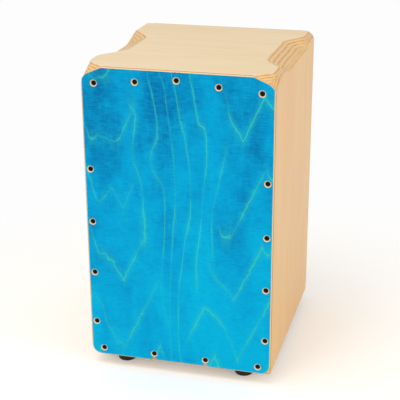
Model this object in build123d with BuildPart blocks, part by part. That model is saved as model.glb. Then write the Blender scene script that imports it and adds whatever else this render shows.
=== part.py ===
from build123d import *
from math import cos, radians, sin, tan
import os

# A full-size flamenco cajon: a mitred plywood box that is sat on and played on its front plate.
# Millimetres, +Z up, X across the front, the front plate faces -Y, the feet stand on Z = 0.

# ---- driving dimensions: the box -------------------------------------------------------------
body_width = 300.0
body_depth = 330.0          # over the front plate and the back panel
body_height = 486.0         # without the feet
side_thickness = 15.0       # side boards and base board
seat_thickness = 18.0
front_plate_thickness = 3.0
back_panel_thickness = 4.0
long_edge_radii = (14.0, 4.0, 4.0, 14.0)    # hand-sanded: bottom left, bottom right, top left, top right
panel_corner_radius = 16.0  # front plate and back panel

# ---- driving dimensions: the worn-in shapes at the two top corners ---------------------------
bevel_width = 38.0          # across the seat, from where the bevel starts to the side
bevel_drop = 16.0           # down the side
left_scoop = (66.0, 76.0)   # from the front face to where it starts, and its level length
right_scoop = (49.0, 119.0)
scoop_end_radius = 85.0
scoop_exit_angle = 17.0
facet_depth = 35.0          # how far the front corner facet runs back along the seat
facet_corner_radius = 20.0

# ---- driving dimensions: front plate and its screws ------------------------------------------
plate_edge_chamfer = 2.0
relief_half_width = 43.0    # raised stretch of the plate's bottom edge
relief_height = 2.5
relief_end_radius = 5.5
screw_shank_radius = 1.75
screw_head_radius = 4.0
screw_length = 20.0
screw_sunk = 1.5            # head's top below the surface
screw_recess_width = 1.1
screw_recess_length = 4.4
screw_recess_depth = 1.6
side_screw_inset = 10.0     # from the side of the plate
side_screw_low = 60.0       # lowest side screw above the plate's bottom edge
side_screw_pitch = 87.5
side_screw_count = 4
bottom_screw_half_spacings = (43.0, 129.0)
inner_top_screw_x = 64.5
outer_top_screw_x = 129.5
top_screw_arch_drop = 5.4   # outer top screws below the inner ones
screw_joint_wall = 0.1      # wood left between a screw's neck and the joint beside it
seat_screw_wall = 1.0       # the same under the middle top screw, in the seat board

# ---- driving dimensions: back panel ----------------------------------------------------------
sound_hole_radius = 57.5
sound_hole_height = 330.0   # its centre above the box's underside
back_edge_chamfer = 1.0
back_screw_spacing = 90.0   # along the seat and the base
back_side_screw_heights = (60.0, 243.0, 426.0)

# ---- driving dimensions: inside the box ------------------------------------------------------
rail_depth = 20.0
rail_height = 20.0
glue_block_size = 20.0
anchor_bar_length = 110.0
anchor_bar_depth = 12.0
anchor_bar_height = 12.0
lower_rail_length = 100.0
string_radius = 0.5
string_plate_gap = 0.3      # between a string and the plate's inner face
string_half_spread_low = 3.5
string_setback_low = 3.0    # string's axis behind the plate's inner face, at the carrier
string_half_spread_top = 14.0
ball_end_radius = 1.9
ball_end_length = 4.0
ferrule_radius = 1.5
ferrule_length = 4.0
bolt_half_spacing = 28.0
bolt_setback = 10.0         # bolt's axis behind the plate's inner face
bolt_radius = 3.0
bolt_head_radius = 5.0
bolt_head_height = 6.0
bolt_socket_width = 5.0     # across the flats
bolt_socket_depth = 3.5
washer_radius = 6.0
washer_thickness = 1.2
carrier_width = 14.0
carrier_depth = 16.0
carrier_height = 10.0
carrier_lift = 9.0          # carrier's underside above the base board, at rest
carrier_slack_travel = 2.0  # up from rest
carrier_string_hole_radius = 1.0
bolt_end_room = 2.0         # of the bolt and the lower rail above the carrier at its highest

# ---- driving dimensions: feet ----------------------------------------------------------------
foot_height = 18.0
foot_top_radius = 17.0
foot_bottom_radius = 14.5
foot_edge_radius = 2.5
foot_half_spacing = 100.0
foot_inset = 32.0           # centre from the front and back faces
foot_bore_depth = 9.0
foot_screw_radius = 2.0
foot_screw_head_radius = 4.2
foot_screw_head_height = 2.8
foot_screw_bite = 12.0
foot_washer_radius = 5.0
foot_washer_thickness = 1.0
foot_hole_clearance = 0.25  # round the foot screw, in the rubber and in its washer

# ---- clearances ------------------------------------------------------------------------------
running_clearance = 0.05    # bolt in its washer and in its carrier, on the radius
sliding_clearance = 0.3     # carrier in its pocket, each side
loose_clearance = 0.5       # bolt through the base board, washer in its counterbore
cut_margin = 1.0            # how far a cutter starts outside what it cuts

# ---- worked out from the above ---------------------------------------------------------------
half_width = body_width / 2
base_z = foot_height
top_z = base_z + body_height
middle_z = (base_z + top_z) / 2
front_y = -body_depth / 2
box_front_y = front_y + front_plate_thickness
back_y = body_depth / 2
box_back_y = back_y - back_panel_thickness
box_depth = box_back_y - box_front_y
inner_half_width = half_width - side_thickness
inner_floor_z = base_z + side_thickness
inner_roof_z = top_z - seat_thickness
bevel_slope = bevel_drop / bevel_width

front_face = Plane.XZ.offset(-front_y)
box_front = Plane.XZ.offset(-box_front_y)
back_face = Plane(origin=(0, back_y, 0), x_dir=(-1, 0, 0), z_dir=(0, 1, 0))
box_back = back_face.offset(-back_panel_thickness)

# a screw's cone is this wide where it enters the box; the screw rows keep it clear of the joints
screw_neck_radius = screw_head_radius + screw_sunk - front_plate_thickness
inner_top_screw_z = inner_roof_z - screw_neck_radius - screw_joint_wall
top_screws = [(0, inner_roof_z + screw_neck_radius + seat_screw_wall)]
for side in (-1, 1):
    top_screws.append((side * inner_top_screw_x, inner_top_screw_z))
    top_screws.append((side * outer_top_screw_x, inner_top_screw_z - top_screw_arch_drop))
bottom_screw_z = inner_floor_z - screw_neck_radius - screw_joint_wall
seat_screws = [place for place in top_screws if place[1] > inner_roof_z]
rail_screws = [place for place in top_screws if place[1] <= inner_roof_z]
base_screws = []
for half_spacing in bottom_screw_half_spacings:
    for side in (-1, 1):
        base_screws.append((side * half_spacing, bottom_screw_z))
side_screw_heights = [base_z + side_screw_low + side_screw_pitch * row for row in range(side_screw_count)]
side_screw_x = half_width - side_screw_inset
left_screws = [(-side_screw_x, height) for height in side_screw_heights]
right_screws = [(side_screw_x, height) for height in side_screw_heights]
plate_screws = top_screws + base_screws + left_screws + right_screws

back_side_x = half_width - side_thickness / 2
back_screws = []
for column in (-1, 0, 1):
    back_screws.append((column * back_screw_spacing, top_z - seat_thickness / 2))
    back_screws.append((column * back_screw_spacing, base_z + side_thickness / 2))
for side in (-1, 1):
    for height in back_side_screw_heights:
        back_screws.append((side * back_side_x, base_z + height))
back_seat_screws = [place for place in back_screws if place[1] > inner_roof_z]
back_base_screws = [place for place in back_screws if place[1] < inner_floor_z]
# seen from behind, the right side board is on the left
back_left_screws = [place for place in back_screws if place[0] > inner_half_width]
back_right_screws = [place for place in back_screws if place[0] < -inner_half_width]

rail_bottom_z = inner_roof_z - rail_height
bar_bottom_z = rail_bottom_z - anchor_bar_height
anchor_screw_places = [(side * anchor_bar_length * 0.45, -box_front_y - anchor_bar_depth / 2) for side in (-1, 1)]
string_y = box_front_y + string_plate_gap + string_radius
bolt_y = box_front_y + bolt_setback
bolt_places = [(side * bolt_half_spacing, -bolt_y) for side in (-1, 1)]
carrier_z = inner_floor_z + carrier_lift
carrier_front_y = box_front_y + sliding_clearance
lower_rail_height = carrier_lift + carrier_height + carrier_slack_travel + bolt_end_room
bolt_head_z = base_z + sliding_clearance
bolt_seat_z = bolt_head_z + bolt_head_height
bolt_counterbore_depth = bolt_seat_z + washer_thickness - base_z
bolt_top_z = inner_floor_z + lower_rail_height
foot_places = {
    "front_left": (-foot_half_spacing, front_y + foot_inset),
    "front_right": (foot_half_spacing, front_y + foot_inset),
    "back_left": (-foot_half_spacing, back_y - foot_inset),
    "back_right": (foot_half_spacing, back_y - foot_inset),
}


def finish(part, name):
    """Name a piece and write it."""
    part.label = name
    export_step(part, f"parts/{name}.step")


def on(face, places):
    """Turn (across, up) places on a face into locations whose Z points out of it."""
    return [face.location * Location((across, up, 0)) for across, up in places]


def facing_down(height):
    """A plane that looks down at the given height; its own second direction runs towards -Y."""
    return Plane(origin=(0, 0, height), x_dir=(1, 0, 0), z_dir=(0, 0, -1))


def screw_holes(face, places, sunk, thickness_before):
    """Countersunk screw holes in a piece that lies a given thickness below the screwed surface."""
    mouth_radius = max(screw_head_radius + sunk - thickness_before, screw_shank_radius)
    with Locations(*on(face, places)):
        CounterSinkHole(
            radius=screw_shank_radius,
            counter_sink_radius=mouth_radius,
            depth=sunk + screw_length - thickness_before,
            counter_sink_angle=90,
        )


def wood_screws(face, places, sunk):
    """Cross-head countersunk screws, their heads' tops sunk below a face."""
    neck_depth = sunk + screw_head_radius - screw_shank_radius
    tip_depth = sunk + screw_length
    with BuildPart() as screw:
        with BuildSketch(Plane.XZ):
            with BuildLine():
                Polyline(
                    (0, -sunk),
                    (screw_head_radius, -sunk),
                    (screw_shank_radius, -neck_depth),
                    (screw_shank_radius, screw_shank_radius - tip_depth),
                    (0, -tip_depth),
                    close=True,
                )
            make_face()
        revolve(axis=Axis.Z)
        with BuildSketch(Plane.XY.offset(-sunk)):
            Rectangle(screw_recess_length, screw_recess_width)
            Rectangle(screw_recess_width, screw_recess_length)
        extrude(amount=-screw_recess_depth, mode=Mode.SUBTRACT)
    with BuildPart() as placed:
        with Locations(*on(face, places)):
            add(screw.part)
    return placed.part


# ---- the worn-in corners: two hand scoops and two front facets -------------------------------

def hand_scoop(side, scoop_start, level_length):
    """Cutter for the hand rest: a ramp down to the side, with rounded run-outs at both ends."""
    angle = radians(scoop_exit_angle)
    arc_rise = scoop_end_radius * (1 - cos(angle))
    half_length = level_length / 2 + scoop_end_radius * sin(angle) + (bevel_drop - arc_rise) / tan(angle)
    start = Plane(
        origin=(
            side * (half_width + cut_margin),
            front_y + scoop_start + half_length,
            top_z - bevel_drop - cut_margin * bevel_slope,
        ),
        x_dir=(0, 1, 0),
        z_dir=(1, 0, 0),
    )
    with BuildPart() as cutter:
        with BuildSketch(start):
            with BuildLine():
                floor = Line((0, 0), (level_length / 2, 0))
                sweep_up = JernArc(floor @ 1, (1, 0), scoop_end_radius, scoop_exit_angle)
                run_out = Line(sweep_up @ 1, sweep_up @ 1 + (sweep_up % 1) * (2 * bevel_drop / sin(angle)))
                Line(run_out @ 1, (0, (run_out @ 1).Y))
                mirror(about=Plane.YZ)
            make_face()
        extrude(amount=1.5 * bevel_width, dir=(-side, 0, bevel_slope))
    return cutter.part


def corner_facet(side):
    """Cutter for the front corner: the clipped corner of the plate, run back and up to the seat."""
    lean = bevel_drop / facet_depth
    leg = 2 * facet_corner_radius
    reach = 2 * bevel_width
    corner_z = top_z - bevel_drop - cut_margin * lean
    clip_end = (side * (half_width - reach), corner_z + reach * bevel_slope)
    corner = (side * half_width, corner_z)
    leg_end = (side * (half_width + cut_margin / 5), corner_z - leg)
    with BuildPart() as cutter:
        with BuildSketch(Plane.XZ.offset(cut_margin - front_y)):
            with BuildLine():
                FilletPolyline(clip_end, corner, leg_end, radius=facet_corner_radius)
                Polyline(
                    leg_end,
                    (side * (half_width + leg), corner_z - leg),
                    (side * (half_width + leg), corner_z + reach),
                    (side * (half_width - reach), corner_z + reach),
                    clip_end,
                )
            make_face()
        extrude(amount=2 * facet_depth, dir=(0, 1, lean))
    return cutter.part


corner_cutters = [hand_scoop(-1, *left_scoop), hand_scoop(1, *right_scoop), corner_facet(-1), corner_facet(1)]

os.makedirs("parts", exist_ok=True)


# ---- box: four mitred boards, each one wedge of the same rounded outline ---------------------

def board_blank(wedge):
    """The part of the box's rounded outline inside one wedge, run from front to back."""
    with BuildPart() as blank:
        with BuildSketch(box_front) as outline:
            with Locations((0, middle_z)):
                Rectangle(body_width, body_height)
            for across, up, radius in zip((-1, 1, -1, 1), (-1, -1, 1, 1), long_edge_radii):
                corner = outline.vertices().sort_by(lambda point: across * point.X + up * point.Y)[-1]
                fillet(corner, radius)
            with BuildLine():
                Polyline(*wedge, close=True)
            make_face(mode=Mode.INTERSECT)
        extrude(amount=-box_depth)
        for cutter in corner_cutters:
            add(cutter, mode=Mode.SUBTRACT)
    return blank.part


outer_left_top = (-half_width, top_z)
outer_right_top = (half_width, top_z)
outer_left_bottom = (-half_width, base_z)
outer_right_bottom = (half_width, base_z)
inner_left_top = (-inner_half_width, inner_roof_z)
inner_right_top = (inner_half_width, inner_roof_z)
inner_left_bottom = (-inner_half_width, inner_floor_z)
inner_right_bottom = (inner_half_width, inner_floor_z)

with BuildPart() as seat_board:
    add(board_blank([outer_left_top, outer_right_top, inner_right_top, inner_left_top]))
    screw_holes(box_front, seat_screws, screw_sunk, front_plate_thickness)
    screw_holes(box_back, back_seat_screws, screw_sunk, back_panel_thickness)
finish(seat_board.part, "seat_board")

with BuildPart() as left_side:
    add(board_blank([outer_left_top, outer_left_bottom, inner_left_bottom, inner_left_top]))
    screw_holes(box_front, left_screws, screw_sunk, front_plate_thickness)
    screw_holes(box_back, back_left_screws, screw_sunk, back_panel_thickness)
finish(left_side.part, "left_side")

with BuildPart() as right_side:
    add(board_blank([outer_right_top, outer_right_bottom, inner_right_bottom, inner_right_top]))
    screw_holes(box_front, right_screws, screw_sunk, front_plate_thickness)
    screw_holes(box_back, back_right_screws, screw_sunk, back_panel_thickness)
finish(right_side.part, "right_side")

with BuildPart() as base_board:
    add(board_blank([outer_left_bottom, outer_right_bottom, inner_right_bottom, inner_left_bottom]))
    screw_holes(box_front, base_screws, screw_sunk, front_plate_thickness)
    screw_holes(box_back, back_base_screws, screw_sunk, back_panel_thickness)
    with Locations(*on(facing_down(base_z), bolt_places)):
        CounterBoreHole(
            radius=bolt_radius + loose_clearance,
            counter_bore_radius=washer_radius + loose_clearance,
            counter_bore_depth=bolt_counterbore_depth,
            depth=side_thickness,
        )
    with Locations(*on(facing_down(base_z), [(x, -y) for x, y in foot_places.values()])):
        Hole(radius=foot_screw_radius, depth=foot_screw_bite)
finish(base_board.part, "base_board")


# ---- front plate: thin stained ply, chamfered round its edge, with clipped top corners -------

with BuildPart() as front_plate:
    with BuildSketch(front_face):
        with Locations((0, middle_z)):
            RectangleRounded(body_width, body_height, panel_corner_radius)
    extrude(amount=-front_plate_thickness)
    chamfer(front_plate.faces().sort_by(Axis.Y)[0].edges(), plate_edge_chamfer)
    with BuildSketch(front_face):
        with Locations((0, base_z)):
            Rectangle(2 * relief_half_width, 2 * relief_height)
        with Locations((-relief_half_width, base_z), (relief_half_width, base_z)):
            Circle(relief_end_radius)
    extrude(amount=-front_plate_thickness, mode=Mode.SUBTRACT)
    for cutter in corner_cutters:
        add(cutter, mode=Mode.SUBTRACT)
    screw_holes(front_face, plate_screws, screw_sunk, 0)
finish(front_plate.part, "front_plate")
finish(wood_screws(front_face, plate_screws, screw_sunk), "front_plate_screws")


# ---- back panel with its sound hole ----------------------------------------------------------

with BuildPart() as back_panel:
    with BuildSketch(back_face):
        with Locations((0, middle_z)):
            RectangleRounded(body_width, body_height, panel_corner_radius)
        with Locations((0, base_z + sound_hole_height)):
            Circle(sound_hole_radius, mode=Mode.SUBTRACT)
    extrude(amount=-back_panel_thickness)
    chamfer(back_panel.faces().sort_by(Axis.Y)[-1].outer_wire().edges(), back_edge_chamfer)
    screw_holes(back_face, back_screws, screw_sunk, 0)
finish(back_panel.part, "back_panel")
finish(wood_screws(back_face, back_screws, screw_sunk), "back_panel_screws")


# ---- battens glued inside the box ------------------------------------------------------------

with BuildPart() as top_front_rail:
    with BuildSketch(box_front):
        with Locations((0, inner_roof_z)):
            Rectangle(2 * inner_half_width, rail_height, align=(Align.CENTER, Align.MAX))
    extrude(amount=-rail_depth)
    screw_holes(box_front, rail_screws, screw_sunk, front_plate_thickness)
    screw_holes(facing_down(rail_bottom_z), anchor_screw_places, 0, anchor_bar_height)
finish(top_front_rail.part, "top_front_rail")


def glue_block(side, corner_z, up, start_y):
    """A three-cornered block along one inner corner, from the given start to the back panel."""
    with BuildPart() as block:
        with BuildSketch(Plane.XZ.offset(-start_y)):
            with BuildLine():
                Polyline(
                    (side * inner_half_width, corner_z),
                    (side * (inner_half_width - glue_block_size), corner_z),
                    (side * inner_half_width, corner_z + up * glue_block_size),
                    close=True,
                )
            make_face()
        extrude(amount=start_y - box_back_y)
    return block.part


for hand, side in (("left", -1), ("right", 1)):
    finish(glue_block(side, inner_roof_z, -1, box_front_y + rail_depth), f"top_{hand}_glue_block")
    finish(glue_block(side, inner_floor_z, 1, box_front_y), f"bottom_{hand}_glue_block")


# ---- string anchor bar: under the top rail, slotted for the strings and their ball ends ------

string_ends_x = []
for side in (-1, 1):
    for lean in (-1, 1):
        string_ends_x.append(side * bolt_half_spacing + lean * string_half_spread_top)
pocket_floor_z = rail_bottom_z - 2 * ball_end_radius - 2 * sliding_clearance
pocket_depth = string_plate_gap + string_radius + 2 * ball_end_radius + 2 * sliding_clearance
slot_width = 2 * (string_radius + loose_clearance)
slot_depth = string_plate_gap + 2 * string_radius + sliding_clearance

with BuildPart() as string_anchor_bar:
    with BuildSketch(box_front):
        with Locations((0, rail_bottom_z)):
            Rectangle(anchor_bar_length, anchor_bar_height, align=(Align.CENTER, Align.MAX))
    extrude(amount=-anchor_bar_depth)
    with BuildSketch(box_front):
        with Locations(*[(x, rail_bottom_z) for x in string_ends_x]):
            Rectangle(slot_width, 2 * anchor_bar_height)
    extrude(amount=-slot_depth, mode=Mode.SUBTRACT)
    with BuildSketch(box_front):
        with Locations(*[(x, pocket_floor_z) for x in string_ends_x]):
            Rectangle(
                ball_end_length + 2 * sliding_clearance,
                anchor_bar_height,
                align=(Align.CENTER, Align.MIN),
            )
    extrude(amount=-pocket_depth, mode=Mode.SUBTRACT)
    screw_holes(facing_down(bar_bottom_z), anchor_screw_places, 0, 0)
finish(string_anchor_bar.part, "string_anchor_bar")
finish(wood_screws(facing_down(bar_bottom_z), anchor_screw_places, 0), "anchor_bar_screws")

ball_end_z = pocket_floor_z + ball_end_radius + running_clearance
with BuildPart() as string_ball_ends:
    for x in string_ends_x:
        with BuildSketch(Plane.YZ.offset(x - ball_end_length / 2)):
            with Locations((string_y + ball_end_radius, ball_end_z)):
                Circle(ball_end_radius)
        extrude(amount=ball_end_length)
finish(string_ball_ends.part, "string_ball_ends")


# ---- lower string rail: keeps the two carriers from turning while they travel ----------------

with BuildPart() as lower_string_rail:
    with BuildSketch(Plane.XY.offset(inner_floor_z)):
        with Locations((0, box_front_y)):
            Rectangle(lower_rail_length, rail_depth, align=(Align.CENTER, Align.MIN))
        with Locations(*[(x, box_front_y) for x, _ in bolt_places]):
            Rectangle(
                carrier_width + 2 * sliding_clearance,
                carrier_depth + 2 * sliding_clearance,
                align=(Align.CENTER, Align.MIN),
                mode=Mode.SUBTRACT,
            )
    extrude(amount=lower_rail_height)
finish(lower_string_rail.part, "lower_string_rail")


# ---- per side: tuning bolt, washer, carrier on its thread, two strings and their ferrules ----

string_low_y = box_front_y + string_setback_low
string_low_z = carrier_z - ferrule_length - running_clearance
string_top_z = pocket_floor_z + sliding_clearance

for hand, side in (("left", -1), ("right", 1)):
    bolt_x = side * bolt_half_spacing

    with BuildPart() as tuning_bolt:
        with BuildSketch(Plane.XY.offset(bolt_head_z)):
            with Locations((bolt_x, bolt_y)):
                Circle(bolt_head_radius)
        extrude(amount=bolt_head_height)
        with BuildSketch(Plane.XY.offset(bolt_seat_z)):
            with Locations((bolt_x, bolt_y)):
                Circle(bolt_radius)
        extrude(amount=bolt_top_z - bolt_seat_z)
        with BuildSketch(Plane.XY.offset(bolt_head_z)):
            with Locations((bolt_x, bolt_y)):
                RegularPolygon(bolt_socket_width / 2, 6, major_radius=False)
        extrude(amount=bolt_socket_depth, mode=Mode.SUBTRACT)
    finish(tuning_bolt.part, f"{hand}_tuning_bolt")

    with BuildPart() as bolt_washer:
        with BuildSketch(Plane.XY.offset(bolt_seat_z)):
            with Locations((bolt_x, bolt_y)):
                Circle(washer_radius)
                Circle(bolt_radius + running_clearance, mode=Mode.SUBTRACT)
        extrude(amount=washer_thickness)
    finish(bolt_washer.part, f"{hand}_bolt_washer")

    runs = []
    for lean in (-1, 1):
        low_end = Vector(bolt_x + lean * string_half_spread_low, string_low_y, string_low_z)
        top_end = Vector(bolt_x + lean * string_half_spread_top, string_y, string_top_z)
        runs.append((low_end, top_end))

    with BuildPart() as string_carrier:
        with BuildSketch(Plane.XY.offset(carrier_z)):
            with Locations((bolt_x, carrier_front_y)):
                Rectangle(carrier_width, carrier_depth, align=(Align.CENTER, Align.MIN))
            with Locations((bolt_x, bolt_y)):
                Circle(bolt_radius + running_clearance, mode=Mode.SUBTRACT)
            with Locations(*[(low_end.X, low_end.Y) for low_end, _ in runs]):
                Circle(carrier_string_hole_radius, mode=Mode.SUBTRACT)
        extrude(amount=carrier_height)
    finish(string_carrier.part, f"{hand}_string_carrier")

    with BuildPart() as strings:
        for low_end, top_end in runs:
            with BuildSketch(Plane(origin=low_end, z_dir=top_end - low_end)):
                Circle(string_radius)
            extrude(amount=(top_end - low_end).length)
    finish(strings.part, f"{hand}_strings")

    with BuildPart() as ferrules:
        for low_end, top_end in runs:
            with BuildSketch(Plane(origin=low_end, z_dir=top_end - low_end)):
                Circle(ferrule_radius)
                Circle(string_radius, mode=Mode.SUBTRACT)
            extrude(amount=ferrule_length)
    finish(ferrules.part, f"{hand}_string_ferrules")


# ---- rubber feet, each with a washer and a screw up into the base board -----------------------

def turned(profile):
    """A solid of revolution about +Z from (radius, height) points."""
    with BuildPart() as spun:
        with BuildSketch(Plane.XZ):
            with BuildLine():
                Polyline(*profile, close=True)
            make_face()
        revolve(axis=Axis.Z)
    return spun.part


washer_z = foot_bore_depth - foot_washer_thickness
head_z = washer_z - foot_screw_head_height
foot_solid = turned([
    (foot_screw_radius + foot_hole_clearance, foot_height),
    (foot_top_radius, foot_height),
    (foot_bottom_radius, 0),
    (foot_washer_radius + loose_clearance, 0),
    (foot_washer_radius + loose_clearance, foot_bore_depth),
    (foot_screw_radius + foot_hole_clearance, foot_bore_depth),
])
foot_washer = turned([
    (foot_screw_radius + foot_hole_clearance, washer_z),
    (foot_washer_radius, washer_z),
    (foot_washer_radius, foot_bore_depth),
    (foot_screw_radius + foot_hole_clearance, foot_bore_depth),
])
foot_screw = turned([
    (0, head_z),
    (foot_screw_head_radius, head_z),
    (foot_screw_head_radius, washer_z),
    (foot_screw_radius, washer_z),
    (foot_screw_radius, foot_height + foot_screw_bite - foot_screw_radius),
    (0, foot_height + foot_screw_bite),
])

with BuildPart() as rounded_foot:
    add(foot_solid)
    fillet(rounded_foot.edges().group_by(Axis.Z)[0].sort_by(SortBy.RADIUS)[-1], foot_edge_radius)
for corner, place in foot_places.items():
    with BuildPart() as foot:
        with Locations(place):
            add(rounded_foot.part)
    finish(foot.part, f"{corner}_foot")

with BuildPart() as foot_screws:
    with Locations(*foot_places.values()):
        add(foot_screw)
    with BuildSketch(Plane.XY.offset(head_z)):
        with Locations(*foot_places.values()):
            Rectangle(screw_recess_length, screw_recess_width)
            Rectangle(screw_recess_width, screw_recess_length)
    extrude(amount=screw_recess_depth, mode=Mode.SUBTRACT)
finish(foot_screws.part, "foot_screws")

with BuildPart() as foot_washers:
    with Locations(*foot_places.values()):
        add(foot_washer)
finish(foot_washers.part, "foot_washers")
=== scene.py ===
import math

import bpy
from mathutils import Matrix, Vector


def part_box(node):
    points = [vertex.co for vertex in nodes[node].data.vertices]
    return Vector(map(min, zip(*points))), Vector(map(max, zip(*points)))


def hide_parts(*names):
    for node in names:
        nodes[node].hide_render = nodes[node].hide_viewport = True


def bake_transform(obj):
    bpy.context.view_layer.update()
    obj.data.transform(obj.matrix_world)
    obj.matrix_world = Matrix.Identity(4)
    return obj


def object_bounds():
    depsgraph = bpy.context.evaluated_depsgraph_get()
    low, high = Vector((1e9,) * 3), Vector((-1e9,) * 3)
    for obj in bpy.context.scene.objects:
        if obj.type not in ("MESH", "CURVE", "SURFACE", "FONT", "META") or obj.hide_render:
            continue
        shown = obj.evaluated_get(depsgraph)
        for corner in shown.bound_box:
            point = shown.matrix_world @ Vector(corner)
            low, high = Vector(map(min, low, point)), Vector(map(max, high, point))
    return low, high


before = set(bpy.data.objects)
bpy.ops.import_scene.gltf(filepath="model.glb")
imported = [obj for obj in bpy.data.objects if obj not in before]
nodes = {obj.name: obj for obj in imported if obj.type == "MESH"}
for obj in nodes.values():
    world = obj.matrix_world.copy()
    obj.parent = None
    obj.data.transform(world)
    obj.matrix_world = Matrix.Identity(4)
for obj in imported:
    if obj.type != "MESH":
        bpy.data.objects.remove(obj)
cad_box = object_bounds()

MM = 0.001


# ---- camera ----------------------------------------------------------------------------------
# A short telephoto on a stand, a little above seat height and to the drum's right, tipped down
# so that the front plate, the seat and a strip of the right side show.
LENS_MM = 96.36
CAMERA_PLACE_MM = (433.9, -1633.9, 883.1)
HEADING_DEG = 15.17
TIP_DOWN_DEG = 20.77
ROLL_DEG = -0.27


def place_camera():
    heading, tip, roll = (math.radians(a) for a in (HEADING_DEG, TIP_DOWN_DEG, ROLL_DEG))
    across = Vector((math.cos(heading), math.sin(heading), 0))
    ahead = Vector((-math.sin(heading) * math.cos(tip), math.cos(heading) * math.cos(tip), -math.sin(tip)))
    upward = across.cross(ahead)
    right = across * math.cos(roll) + upward * math.sin(roll)
    top = upward * math.cos(roll) - across * math.sin(roll)
    turn = Matrix((right, top, -ahead)).transposed().to_4x4()
    data = bpy.data.cameras.new("camera")
    data.lens = LENS_MM
    data.sensor_width = 36
    camera = bpy.data.objects.new("camera", data)
    camera.matrix_world = Matrix.Translation(Vector(CAMERA_PLACE_MM) * MM) @ turn
    bpy.context.collection.objects.link(camera)
    bpy.context.scene.camera = camera


place_camera()


# ---- floor and light -------------------------------------------------------------------------
# A white paper sweep under three softboxes, overhead, left front and right, in a pale room. The
# paper is lifted towards white for the eye and for reflections. It keeps the shadow near the
# drum and runs out to plain white away from it.
PAPER_LIFT = 0.26
PAPER_WHITE = 0.98
SHADOW_REACH_M = (0.28, 0.75)       # where the run-out to white starts and ends
ROOM_STRENGTH = 0.62


def linear(hex_colour):
    """sRGB hex to the linear RGBA that a node takes."""
    channels = [int(hex_colour[i:i + 2], 16) / 255 for i in (1, 3, 5)]
    return tuple(c / 12.92 if c <= 0.04045 else ((c + 0.055) / 1.055) ** 2.4 for c in channels) + (1.0,)


def node(tree, kind, *, inputs=None, **settings):
    """Add a node with its settings, and link or set its inputs."""
    made = tree.nodes.new(kind)
    for name, value in settings.items():
        setattr(made, name, value)
    for key, value in (inputs or {}).items():
        if isinstance(value, bpy.types.NodeSocket):
            tree.links.new(value, made.inputs[key])
        else:
            made.inputs[key].default_value = value
    return made


def blank_material(name):
    material = bpy.data.materials.new(name)
    material.use_nodes = True
    material.node_tree.nodes.clear()
    return material, material.node_tree


def make_floor():
    material, tree = blank_material("white_paper_sweep")
    noise = node(tree, "ShaderNodeTexNoise", inputs={"Scale": 900.0, "Detail": 3.0})
    bump = node(tree, "ShaderNodeBump",
                inputs={"Strength": 0.03, "Distance": 0.0005, "Height": noise.outputs[0]})
    paper = node(tree, "ShaderNodeBsdfDiffuse",
                 inputs={"Color": linear("#f0f0ef"), "Normal": bump.outputs[0]})
    rays = node(tree, "ShaderNodeLightPath")
    seen = node(tree, "ShaderNodeMath", operation="MAXIMUM",
                inputs={0: rays.outputs["Is Camera Ray"], 1: rays.outputs["Is Glossy Ray"]})
    lift = node(tree, "ShaderNodeMath", operation="MULTIPLY", inputs={0: seen.outputs[0], 1: PAPER_LIFT})
    glow = node(tree, "ShaderNodeEmission", inputs={"Color": linear("#fffdfb"), "Strength": lift.outputs[0]})
    both = node(tree, "ShaderNodeAddShader", inputs={0: paper.outputs[0], 1: glow.outputs[0]})
    place = node(tree, "ShaderNodeTexCoord").outputs["Object"]
    away = node(tree, "ShaderNodeVectorMath", operation="LENGTH", inputs={0: place}).outputs["Value"]
    far = node(tree, "ShaderNodeMapRange", interpolation_type="SMOOTHSTEP",
               inputs={"Value": away, "From Min": SHADOW_REACH_M[0], "From Max": SHADOW_REACH_M[1]})
    far_seen = node(tree, "ShaderNodeMath", operation="MULTIPLY",
                    inputs={0: far.outputs[0], 1: seen.outputs[0]})
    white = node(tree, "ShaderNodeEmission", inputs={"Color": linear("#ffffff"), "Strength": PAPER_WHITE})
    fade = node(tree, "ShaderNodeMixShader",
                inputs={0: far_seen.outputs[0], 1: both.outputs[0], 2: white.outputs[0]})
    node(tree, "ShaderNodeOutputMaterial", inputs={"Surface": fade.outputs[0]})
    mesh = bpy.data.meshes.new("paper_sweep")
    half = 12.0
    floor_z = cad_box[0][2]
    ring = ((-half, -half), (half, -half), (half, half), (-half, half))
    mesh.from_pydata([(x, y, floor_z) for x, y in ring], [], [(0, 1, 2, 3)])
    mesh.materials.append(material)
    sweep = bpy.data.objects.new("paper_sweep", mesh)
    bpy.context.collection.objects.link(sweep)


def softbox(name, place, aim, size, power, colour):
    data = bpy.data.lights.new(name, "AREA")
    data.shape = "RECTANGLE"
    data.size, data.size_y = size
    data.energy = power
    data.color = linear(colour)[:3]
    lamp = bpy.data.objects.new(name, data)
    lamp.location = place
    lamp.rotation_euler = (Vector(aim) - Vector(place)).to_track_quat("-Z", "Y").to_euler()
    bpy.context.collection.objects.link(lamp)


def make_room():
    world = bpy.data.worlds.new("pale_room")
    bpy.context.scene.world = world
    world.use_nodes = True
    tree = world.node_tree
    tree.nodes.clear()
    rays = node(tree, "ShaderNodeLightPath")
    seen = node(tree, "ShaderNodeMath", operation="MAXIMUM",
                inputs={0: rays.outputs["Is Camera Ray"], 1: rays.outputs["Is Transmission Ray"]})
    room = node(tree, "ShaderNodeBackground", inputs={"Color": linear("#fbfaf8"), "Strength": ROOM_STRENGTH})
    white = node(tree, "ShaderNodeBackground", inputs={"Color": (1, 1, 1, 1), "Strength": 1.0})
    pick = node(tree, "ShaderNodeMixShader",
                inputs={0: seen.outputs[0], 1: room.outputs[0], 2: white.outputs[0]})
    node(tree, "ShaderNodeOutputWorld", inputs={"Surface": pick.outputs[0]})


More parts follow.
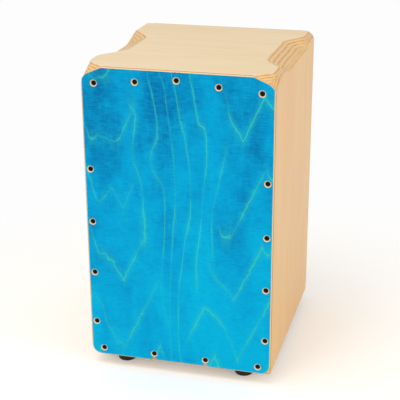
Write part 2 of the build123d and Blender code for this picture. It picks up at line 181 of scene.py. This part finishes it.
make_floor()
make_room()
middle = (0, 0, 0.25)
softbox("overhead_softbox", (-0.5, -0.6, 2.4), middle, (1.6, 1.6), 17, "#fffaf4")
softbox("front_softbox", (-1.2, -2.4, 1.2), middle, (1.4, 1.8), 15, "#fffdfa")
softbox("side_softbox", (2.6, -0.9, 1.3), middle, (1.4, 1.8), 20, "#fffaf2")
bpy.context.scene.view_settings.view_transform = "Standard"


# ---- plywood boards --------------------------------------------------------------------------
# The box is lacquered birch-faced plywood, mitred at its long edges and sanded to shape. Each
# board's plies are real layers here: depth under its own outer face picks the layer, so every
# bevel, scoop and rounded edge cuts through them and shows its stripes.
def in_mm(tree):
    """Where a point of the surface is on the real object, in millimetres, whole and per axis."""
    place = node(tree, "ShaderNodeTexCoord").outputs["Object"]
    scaled = node(tree, "ShaderNodeVectorMath", operation="SCALE", inputs={0: place, "Scale": 1 / MM})
    whole = scaled.outputs[0]
    return whole, node(tree, "ShaderNodeSeparateXYZ", inputs={0: whole}).outputs


def span(tree, value, low, high, to_low=0.0, to_high=1.0, kind="SMOOTHSTEP"):
    """Turn the low..high stretch of a value into to_low..to_high."""
    made = node(tree, "ShaderNodeMapRange", interpolation_type=kind,
                inputs={"Value": value, "From Min": low, "From Max": high,
                        "To Min": to_low, "To Max": to_high})
    return made.outputs[0]


def sums(tree, operation, first, second, third=0.0):
    """One step of arithmetic on two or three values."""
    made = node(tree, "ShaderNodeMath", operation=operation, inputs={0: first, 1: second, 2: third})
    return made.outputs[0]


def noise(tree, where, scale, detail=3.0, roughness=0.5, distortion=0.0):
    made = node(tree, "ShaderNodeTexNoise", inputs={"Vector": where, "Scale": scale, "Detail": detail,
                                                   "Roughness": roughness, "Distortion": distortion})
    return made.outputs[0]


def mix(tree, amount, first, second):
    """Two colours, each an sRGB hex or a socket, mixed by an amount."""
    pair = [linear(c) if isinstance(c, str) else c for c in (first, second)]
    made = node(tree, "ShaderNodeMix", data_type="RGBA",
                inputs={0: amount, 6: pair[0], 7: pair[1]})
    return made.outputs[2]


def stretched(tree, where, axis, amount):
    """The same place with one axis drawn out, for figure that runs along it."""
    factors = [1.0, 1.0, 1.0]
    factors["XYZ".index(axis)] = amount
    return node(tree, "ShaderNodeVectorMath", operation="MULTIPLY", inputs={0: where, 1: factors}).outputs[0]


def worn_edges(tree, radius_mm):
    """The surface's normal with its edges eased, and how near an edge a point is."""
    eased = node(tree, "ShaderNodeBevel", samples=4, inputs={"Radius": radius_mm * MM}).outputs[0]
    flat = node(tree, "ShaderNodeNewGeometry").outputs["True Normal"]
    along = node(tree, "ShaderNodeVectorMath", operation="DOT_PRODUCT", inputs={0: eased, 1: flat})
    return eased, span(tree, along.outputs["Value"], 0.99, 0.78)


def surfaced(tree, colour, roughness, height, bump_mm, normal=None, **extra):
    """Finish a material: colour, roughness and a bump, with any other shader inputs."""
    settings = {"Strength": 1.0, "Distance": bump_mm * MM, "Height": height}
    if normal is not None:
        settings["Normal"] = normal
    bump = node(tree, "ShaderNodeBump", inputs=settings)
    inputs = {"Base Color": colour, "Roughness": roughness, "Normal": bump.outputs[0]}
    inputs.update({key.replace("_", " "): value for key, value in extra.items()})
    surface = node(tree, "ShaderNodeBsdfPrincipled", inputs=inputs)
    node(tree, "ShaderNodeOutputMaterial", inputs={"Surface": surface.outputs[0]})


def plywood(name, face_axis, face_at_mm, grain_axis, ply_mm, face_hex, dark_hex):
    """Lacquered plywood: a smooth pale face, and cream and tan layers wherever it is cut."""
    material, tree = blank_material(name)
    where, axes = in_mm(tree)
    value = axes["XYZ".index(face_axis)]
    pair = (value, float(face_at_mm)) if face_at_mm <= 0 else (float(face_at_mm), value)
    depth = sums(tree, "SUBTRACT", *pair)
    waver = sums(tree, "MULTIPLY_ADD", noise(tree, where, 0.02), 1.1, -0.55)
    plies = sums(tree, "DIVIDE", sums(tree, "ADD", depth, waver), ply_mm)
    cross = span(tree, sums(tree, "PINGPONG", plies, 1.0), 0.30, 0.72)

    # the face veneer: fine pores along the grain over slow, faint changes of tone
    run = stretched(tree, where, grain_axis, 0.03)
    fine = noise(tree, run, 0.8, 5.0, 0.65)
    broad = noise(tree, stretched(tree, where, grain_axis, 0.12), 0.035, 3.0, 0.5, 0.8)
    tone = sums(tree, "ADD", sums(tree, "MULTIPLY_ADD", fine, 0.5, -0.25), broad)
    face = mix(tree, span(tree, tone, 0.28, 0.74), dark_hex, face_hex)

    # cut layers: crossed ones are tan, and show most on a cut that faces forward
    facing = node(tree, "ShaderNodeSeparateXYZ",
                  inputs={0: node(tree, "ShaderNodeNewGeometry").outputs["True Normal"]}).outputs
    steep = span(tree, facing["Y"], -0.62, -0.15, 1.0, 0.0)
    patchy = span(tree, noise(tree, where, 0.09, 3.0), 0.35, 0.65, 0.45, 1.0)
    tan = mix(tree, steep, "#dc9d58", "#df8a35")
    cream = mix(tree, steep, "#edc98c", "#f3cf92")
    sawn = mix(tree, sums(tree, "MULTIPLY", cross, patchy), cream, tan)
    fuzz = span(tree, noise(tree, where, 1.1, 4.0), 0.35, 0.7, 0.92, 1.03)
    sawn = node(tree, "ShaderNodeVectorMath", operation="SCALE", inputs={0: sawn, "Scale": fuzz}).outputs[0]
    cut = span(tree, sums(tree, "ADD", depth, sums(tree, "MULTIPLY", waver, 0.5)), 0.3, 0.9)
    colour = mix(tree, cut, face, sawn)

    normal, edge = worn_edges(tree, 0.6)
    colour = mix(tree, sums(tree, "MULTIPLY", edge, 0.35), colour, "#ecd0a0")
    surfaced(tree, colour, span(tree, fine, 0.3, 0.7, 0.38, 0.52), fine, 0.05, normal,
             Coat_Weight=0.3, Coat_Roughness=0.25)
    return material


def finish(name, material):
    """Give a CAD node its material."""
    mesh = nodes[name].data
    mesh.materials.clear()
    mesh.materials.append(material)


def face_mm(name, axis, end):
    """Where a node's box ends along an axis, in millimetres: 0 is the low end, 1 the high end."""
    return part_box(name)[end]["XYZ".index(axis)] / MM


PLY_MM = 1.5
finish("seat_board", plywood("birch_ply_seat", "Z", face_mm("seat_board", "Z", 1), "X", PLY_MM,
                             "#f4ddb6", "#efd3a4"))
finish("base_board", plywood("birch_ply_base", "Z", -0.001, "X", PLY_MM, "#ebc488", "#e0b478"))
for side, end in (("left", 0), ("right", 1)):
    finish(side + "_side", plywood("birch_ply_" + side, "X", face_mm(side + "_side", "X", end), "Z", PLY_MM,
                                   "#ecbb6e", "#e8b264"))
finish("back_panel", plywood("birch_ply_back", "Y", face_mm("back_panel", "Y", 1), "Z", 1.3,
                             "#efd09c", "#e3bb82"))


# ---- front plate -----------------------------------------------------------------------------
# Thin plywood faced with figured veneer, stained blue before its edge and screw holes were cut,
# so the chamfer, the clipped corners and the countersinks show bare wood round the colour.
def stained_plate():
    """Blue stain over a rippled face with light growth lines, and bare wood wherever it is cut."""
    material, tree = blank_material("blue_stained_figured_veneer")
    where, axes = in_mm(tree)
    front_mm = face_mm("front_plate", "Y", 0)
    depth = sums(tree, "SUBTRACT", axes["Y"], front_mm)

    # the stain: deeper blue towards the seat, lighter in soft upright drifts lower down
    height = span(tree, axes["Z"], 60.0, 470.0, 0.0, 1.0, "LINEAR")
    drift = noise(tree, stretched(tree, where, "Z", 0.30), 0.016, 3.0, 0.55)
    cloud = noise(tree, where, 0.03, 4.0, 0.6)
    depth_of_stain = sums(tree, "MULTIPLY_ADD", sums(tree, "SUBTRACT", drift, 0.5), -1.7,
                          sums(tree, "MULTIPLY_ADD", height, 0.5, 0.12))
    depth_of_stain = sums(tree, "MULTIPLY_ADD", sums(tree, "SUBTRACT", cloud, 0.5), 0.85, depth_of_stain)
    stain = mix(tree, span(tree, depth_of_stain, -0.1, 0.5), "#00b7e5", "#00a0d8")
    stain = mix(tree, span(tree, depth_of_stain, 0.35, 1.0), stain, "#006eae")

    # ripple figure: short bands across the plate, where the veneer's fibres rise and fall
    ripple = noise(tree, stretched(tree, where, "X", 0.16), 0.55, 3.0, 0.6, 0.3)
    stain = mix(tree, span(tree, ripple, 0.38, 0.70, 0.0, 0.30), stain, "#04bbe4")
    stain = mix(tree, span(tree, ripple, 0.50, 0.30, 0.0, 0.22), stain, "#0068a8")
    fibre = noise(tree, stretched(tree, where, "Z", 0.06), 1.3, 4.0, 0.6)
    stain = mix(tree, span(tree, fibre, 0.48, 0.75, 0.0, 0.36), stain, "#14bede")

    # growth lines: long ones wander down the middle, and pointed arches stand at either side
    slow = noise(tree, stretched(tree, where, "Z", 0.22), 0.012, 2.0, 0.4, 0.4)
    jitter = noise(tree, where, 0.12, 2.0)
    upright = sums(tree, "MULTIPLY_ADD", slow, 5.0, sums(tree, "MULTIPLY", axes["X"], 0.032))
    upright = sums(tree, "MULTIPLY_ADD", jitter, 0.12, upright)
    zigzag = sums(tree, "MULTIPLY_ADD", slow, 2.0, sums(tree, "DIVIDE", axes["X"], 47.0))
    peaks = sums(tree, "PINGPONG", zigzag, 1.0)
    arches = sums(tree, "MULTIPLY_ADD", peaks, 0.85, sums(tree, "DIVIDE", axes["Z"], 118.0))
    arches = sums(tree, "MULTIPLY_ADD", jitter, 0.12, sums(tree, "MULTIPLY_ADD", slow, 1.6, arches))
    outward = sums(tree, "ABSOLUTE", axes["X"], 0.0)
    low_down = span(tree, axes["Z"], 300.0, 90.0, 0.0, 55.0)
    at_sides = span(tree, sums(tree, "ADD", outward, low_down), 62.0, 84.0)
    for field, where_seen in ((upright, sums(tree, "SUBTRACT", 1.0, at_sides)), (arches, at_sides)):
        near = sums(tree, "PINGPONG", field, 0.5)
        halo = span(tree, near, 0.18, 0.0, 0.0, 0.22)
        line = sums(tree, "MAXIMUM", span(tree, near, 0.036, 0.008, 0.0, 0.75), halo)
        seen = span(tree, noise(tree, where, 0.016, 2.0), 0.40, 0.56, 0.35, 1.0)
        shown = sums(tree, "MULTIPLY", sums(tree, "MULTIPLY", line, seen), where_seen)
        stain = mix(tree, shown, stain, "#3ad2bc")

    # bare wood: cream veneers with one tan crossed layer between them
    facing = node(tree, "ShaderNodeSeparateXYZ",
                  inputs={0: node(tree, "ShaderNodeNewGeometry").outputs["True Normal"]}).outputs
    cut = span(tree, facing["Y"], -0.97, -0.93)
    tan_layer = sums(tree, "MULTIPLY", span(tree, depth, 1.25, 1.55), span(tree, depth, 2.35, 2.1))
    pores = noise(tree, where, 1.0, 4.0)
    bare = mix(tree, span(tree, pores, 0.35, 0.7), "#ecca96", "#f7dfb4")
    bare = mix(tree, tan_layer, bare, "#c4762f")
    colour = mix(tree, cut, stain, bare)

    normal, edge = worn_edges(tree, 0.4)
    colour = mix(tree, sums(tree, "MULTIPLY", edge, 0.25), colour, "#f0dfba")
    surfaced(tree, colour, span(tree, ripple, 0.3, 0.7, 0.46, 0.60), ripple, 0.04, normal,
             Specular_IOR_Level=0.04)
    return material


finish("front_plate", stained_plate())


# ---- wood screws -----------------------------------------------------------------------------
# Cross-recessed countersunk screws with a black phosphate finish, driven in below the wood. The
# finish is nearly matt and wears to grey at the rim and round the recess.
def dark_metal(name):
    material, tree = blank_material(name)
    where, _ = in_mm(tree)
    grit = noise(tree, where, 3.0, 4.0, 0.6)
    normal, edge = worn_edges(tree, 0.15)
    colour = mix(tree, span(tree, grit, 0.3, 0.7), "#060606", "#100f0e")
    colour = mix(tree, sums(tree, "MULTIPLY", edge, 0.3), colour, "#2c2a29")
    surfaced(tree, colour, span(tree, grit, 0.3, 0.7, 0.45, 0.62), grit, 0.02, normal, Specular_IOR_Level=0.2)
    return material


phosphate = dark_metal("black_phosphated_steel")
for name in ("front_plate_screws", "back_panel_screws", "anchor_bar_screws"):
    finish(name, phosphate)


# ---- battens inside the box ------------------------------------------------------------------
# Planed, unlacquered softwood: the glue rail and glue blocks, the bar that anchors the strings
# and the rail they lie over. Growth rings show as soft darker lines along each stick.
def softwood(name, grain_axis):
    material, tree = blank_material(name)
    where, axes = in_mm(tree)
    run = stretched(tree, where, grain_axis, 0.02)
    bend = noise(tree, stretched(tree, where, grain_axis, 0.05), 0.05, 2.0)
    across = [a for a in "XYZ" if a != grain_axis]
    radius = sums(tree, "MULTIPLY_ADD", axes[across[0]], 0.8, sums(tree, "MULTIPLY", axes[across[1]], 0.45))
    spread = sums(tree, "MULTIPLY_ADD", bend, 6.0, sums(tree, "MULTIPLY", radius, 0.5))
    rings = sums(tree, "PINGPONG", spread, 1.0)
    late = span(tree, rings, 0.55, 0.95)
    fine = noise(tree, run, 1.4, 4.0, 0.6)
    early = mix(tree, span(tree, fine, 0.3, 0.7), "#e7cc98", "#f0dcb2")
    colour = mix(tree, sums(tree, "MULTIPLY", late, 0.6), early, "#c99a5c")
    normal, edge = worn_edges(tree, 0.5)
    colour = mix(tree, sums(tree, "MULTIPLY", edge, 0.3), colour, "#f3e3c2")
    surfaced(tree, colour, span(tree, fine, 0.3, 0.7, 0.6, 0.75), fine, 0.08, normal)
    return material


along_x = softwood("planed_spruce_crossways", "X")
along_y = softwood("planed_spruce_front_to_back", "Y")
for name in ("top_front_rail", "string_anchor_bar", "lower_string_rail"):
    finish(name, along_x)
for corner in ("top_left", "top_right", "bottom_left", "bottom_right"):
    finish(corner + "_glue_block", along_y)


# ---- tuning bolts, washers and foot screws ---------------------------------------------------
# Bright zinc-plated steel with a rolled thread. The plating is slightly uneven, so its sheen
# breaks up, and it dulls on the flats.
def zinc_plate(name, thread_axis_mm=None, thread_from_mm=0.0, pitch_mm=1.0):
    material, tree = blank_material(name)
    where, axes = in_mm(tree)
    mottle = noise(tree, where, 0.9, 4.0, 0.6)
    height = noise(tree, where, 5.0, 3.0)
    if thread_axis_mm:
        round_x = sums(tree, "SUBTRACT", axes["X"], thread_axis_mm[0])
        round_y = sums(tree, "SUBTRACT", axes["Y"], thread_axis_mm[1])
        turn = sums(tree, "DIVIDE", sums(tree, "ARCTAN2", round_y, round_x), 2 * math.pi)
        climb = sums(tree, "ADD", sums(tree, "DIVIDE", axes["Z"], pitch_mm), turn)
        thread = sums(tree, "PINGPONG", climb, 0.5)
        on_shank = span(tree, axes["Z"], thread_from_mm, thread_from_mm + 0.2)
        height = sums(tree, "MULTIPLY_ADD", sums(tree, "MULTIPLY", thread, on_shank), 12.0, height)
    normal, edge = worn_edges(tree, 0.2)
    colour = mix(tree, span(tree, mottle, 0.3, 0.7), "#a9adb0", "#c9ccce")
    colour = mix(tree, sums(tree, "MULTIPLY", edge, 0.4), colour, "#dfe1e2")
    surfaced(tree, colour, span(tree, mottle, 0.3, 0.7, 0.26, 0.42), height, 0.05, normal, Metallic=1.0)
    return material


plain_zinc = zinc_plate("zinc_plated_steel")
for name in ("foot_screws", "foot_washers", "left_bolt_washer", "right_bolt_washer"):
    finish(name, plain_zinc)
for side in ("left", "right"):
    bolt = side + "_tuning_bolt"
    low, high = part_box(bolt)
    centre_mm = tuple((low[k] + high[k]) / 2 / MM for k in (0, 1))
    finish(bolt, zinc_plate("zinc_plated_thread_" + side, centre_mm, low[2] / MM + 7.0))


# ---- snare strings and their brass parts -----------------------------------------------------
# Two pairs of wound steel guitar strings behind the front plate. Each pair hangs from its brass
# ball ends over the rail and is clamped in ferrules on a brass carrier that its bolt pulls down.
def brass(name):
    material, tree = blank_material(name)
    where, _ = in_mm(tree)
    mottle = noise(tree, where, 0.7, 4.0, 0.6)
    lathe = noise(tree, stretched(tree, where, "Z", 6.0), 1.5, 3.0)
    normal, edge = worn_edges(tree, 0.2)
    colour = mix(tree, span(tree, mottle, 0.3, 0.7), "#b98a3a", "#d9b262")
    colour = mix(tree, sums(tree, "MULTIPLY", edge, 0.4), colour, "#ecd08c")
    surfaced(tree, colour, span(tree, mottle, 0.3, 0.7, 0.24, 0.40), lathe, 0.02, normal, Metallic=1.0)
    return material


def wound_steel(name):
    material, tree = blank_material(name)
    where, axes = in_mm(tree)
    wrap = sums(tree, "PINGPONG", sums(tree, "DIVIDE", axes["Z"], 0.3), 0.5)
    tarnish = noise(tree, stretched(tree, where, "Z", 0.2), 0.3, 3.0)
    colour = mix(tree, span(tree, tarnish, 0.3, 0.7), "#9c948a", "#c8c2b8")
    surfaced(tree, colour, span(tree, tarnish, 0.3, 0.7, 0.28, 0.45), wrap, 0.08, Metallic=1.0)
    return material


yellow_brass = brass("turned_brass")
bronze_wound = wound_steel("bronze_wound_steel_wire")
finish("string_ball_ends", yellow_brass)
for side in ("left", "right"):
    finish(side + "_string_carrier", yellow_brass)
    finish(side + "_string_ferrules", yellow_brass)
    strings = side + "_strings"
    finish(strings, bronze_wound)
    wires = bpy.data.objects.new(side + "_wound_strings", nodes[strings].data.copy())
    bpy.context.collection.objects.link(wires)
    low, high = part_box(strings)
    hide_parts(strings)
    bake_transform(wires)


# ---- rubber feet -----------------------------------------------------------------------------
# Moulded black rubber cones screwed up into the base through a washer. The moulding is faintly
# pebbled and dusty grey where it has rubbed on floors.
def rubber():
    material, tree = blank_material("black_moulded_rubber")
    where, axes = in_mm(tree)
    pebble = noise(tree, where, 1.6, 3.0, 0.6)
    dust = noise(tree, where, 0.12, 4.0, 0.6)
    low = span(tree, axes["Z"], 6.0, 0.0)
    normal, edge = worn_edges(tree, 0.5)
    colour = mix(tree, span(tree, dust, 0.4, 0.7), "#0d0d0d", "#191818")
    colour = mix(tree, sums(tree, "MULTIPLY", sums(tree, "MAXIMUM", low, edge), 0.15), colour, "#4a4744")
    surfaced(tree, colour, span(tree, dust, 0.3, 0.7, 0.62, 0.8), pebble, 0.06, normal)
    return material


moulded = rubber()
for end in ("front", "back"):
    for side in ("left", "right"):
        finish(end + "_" + side + "_foot", moulded)
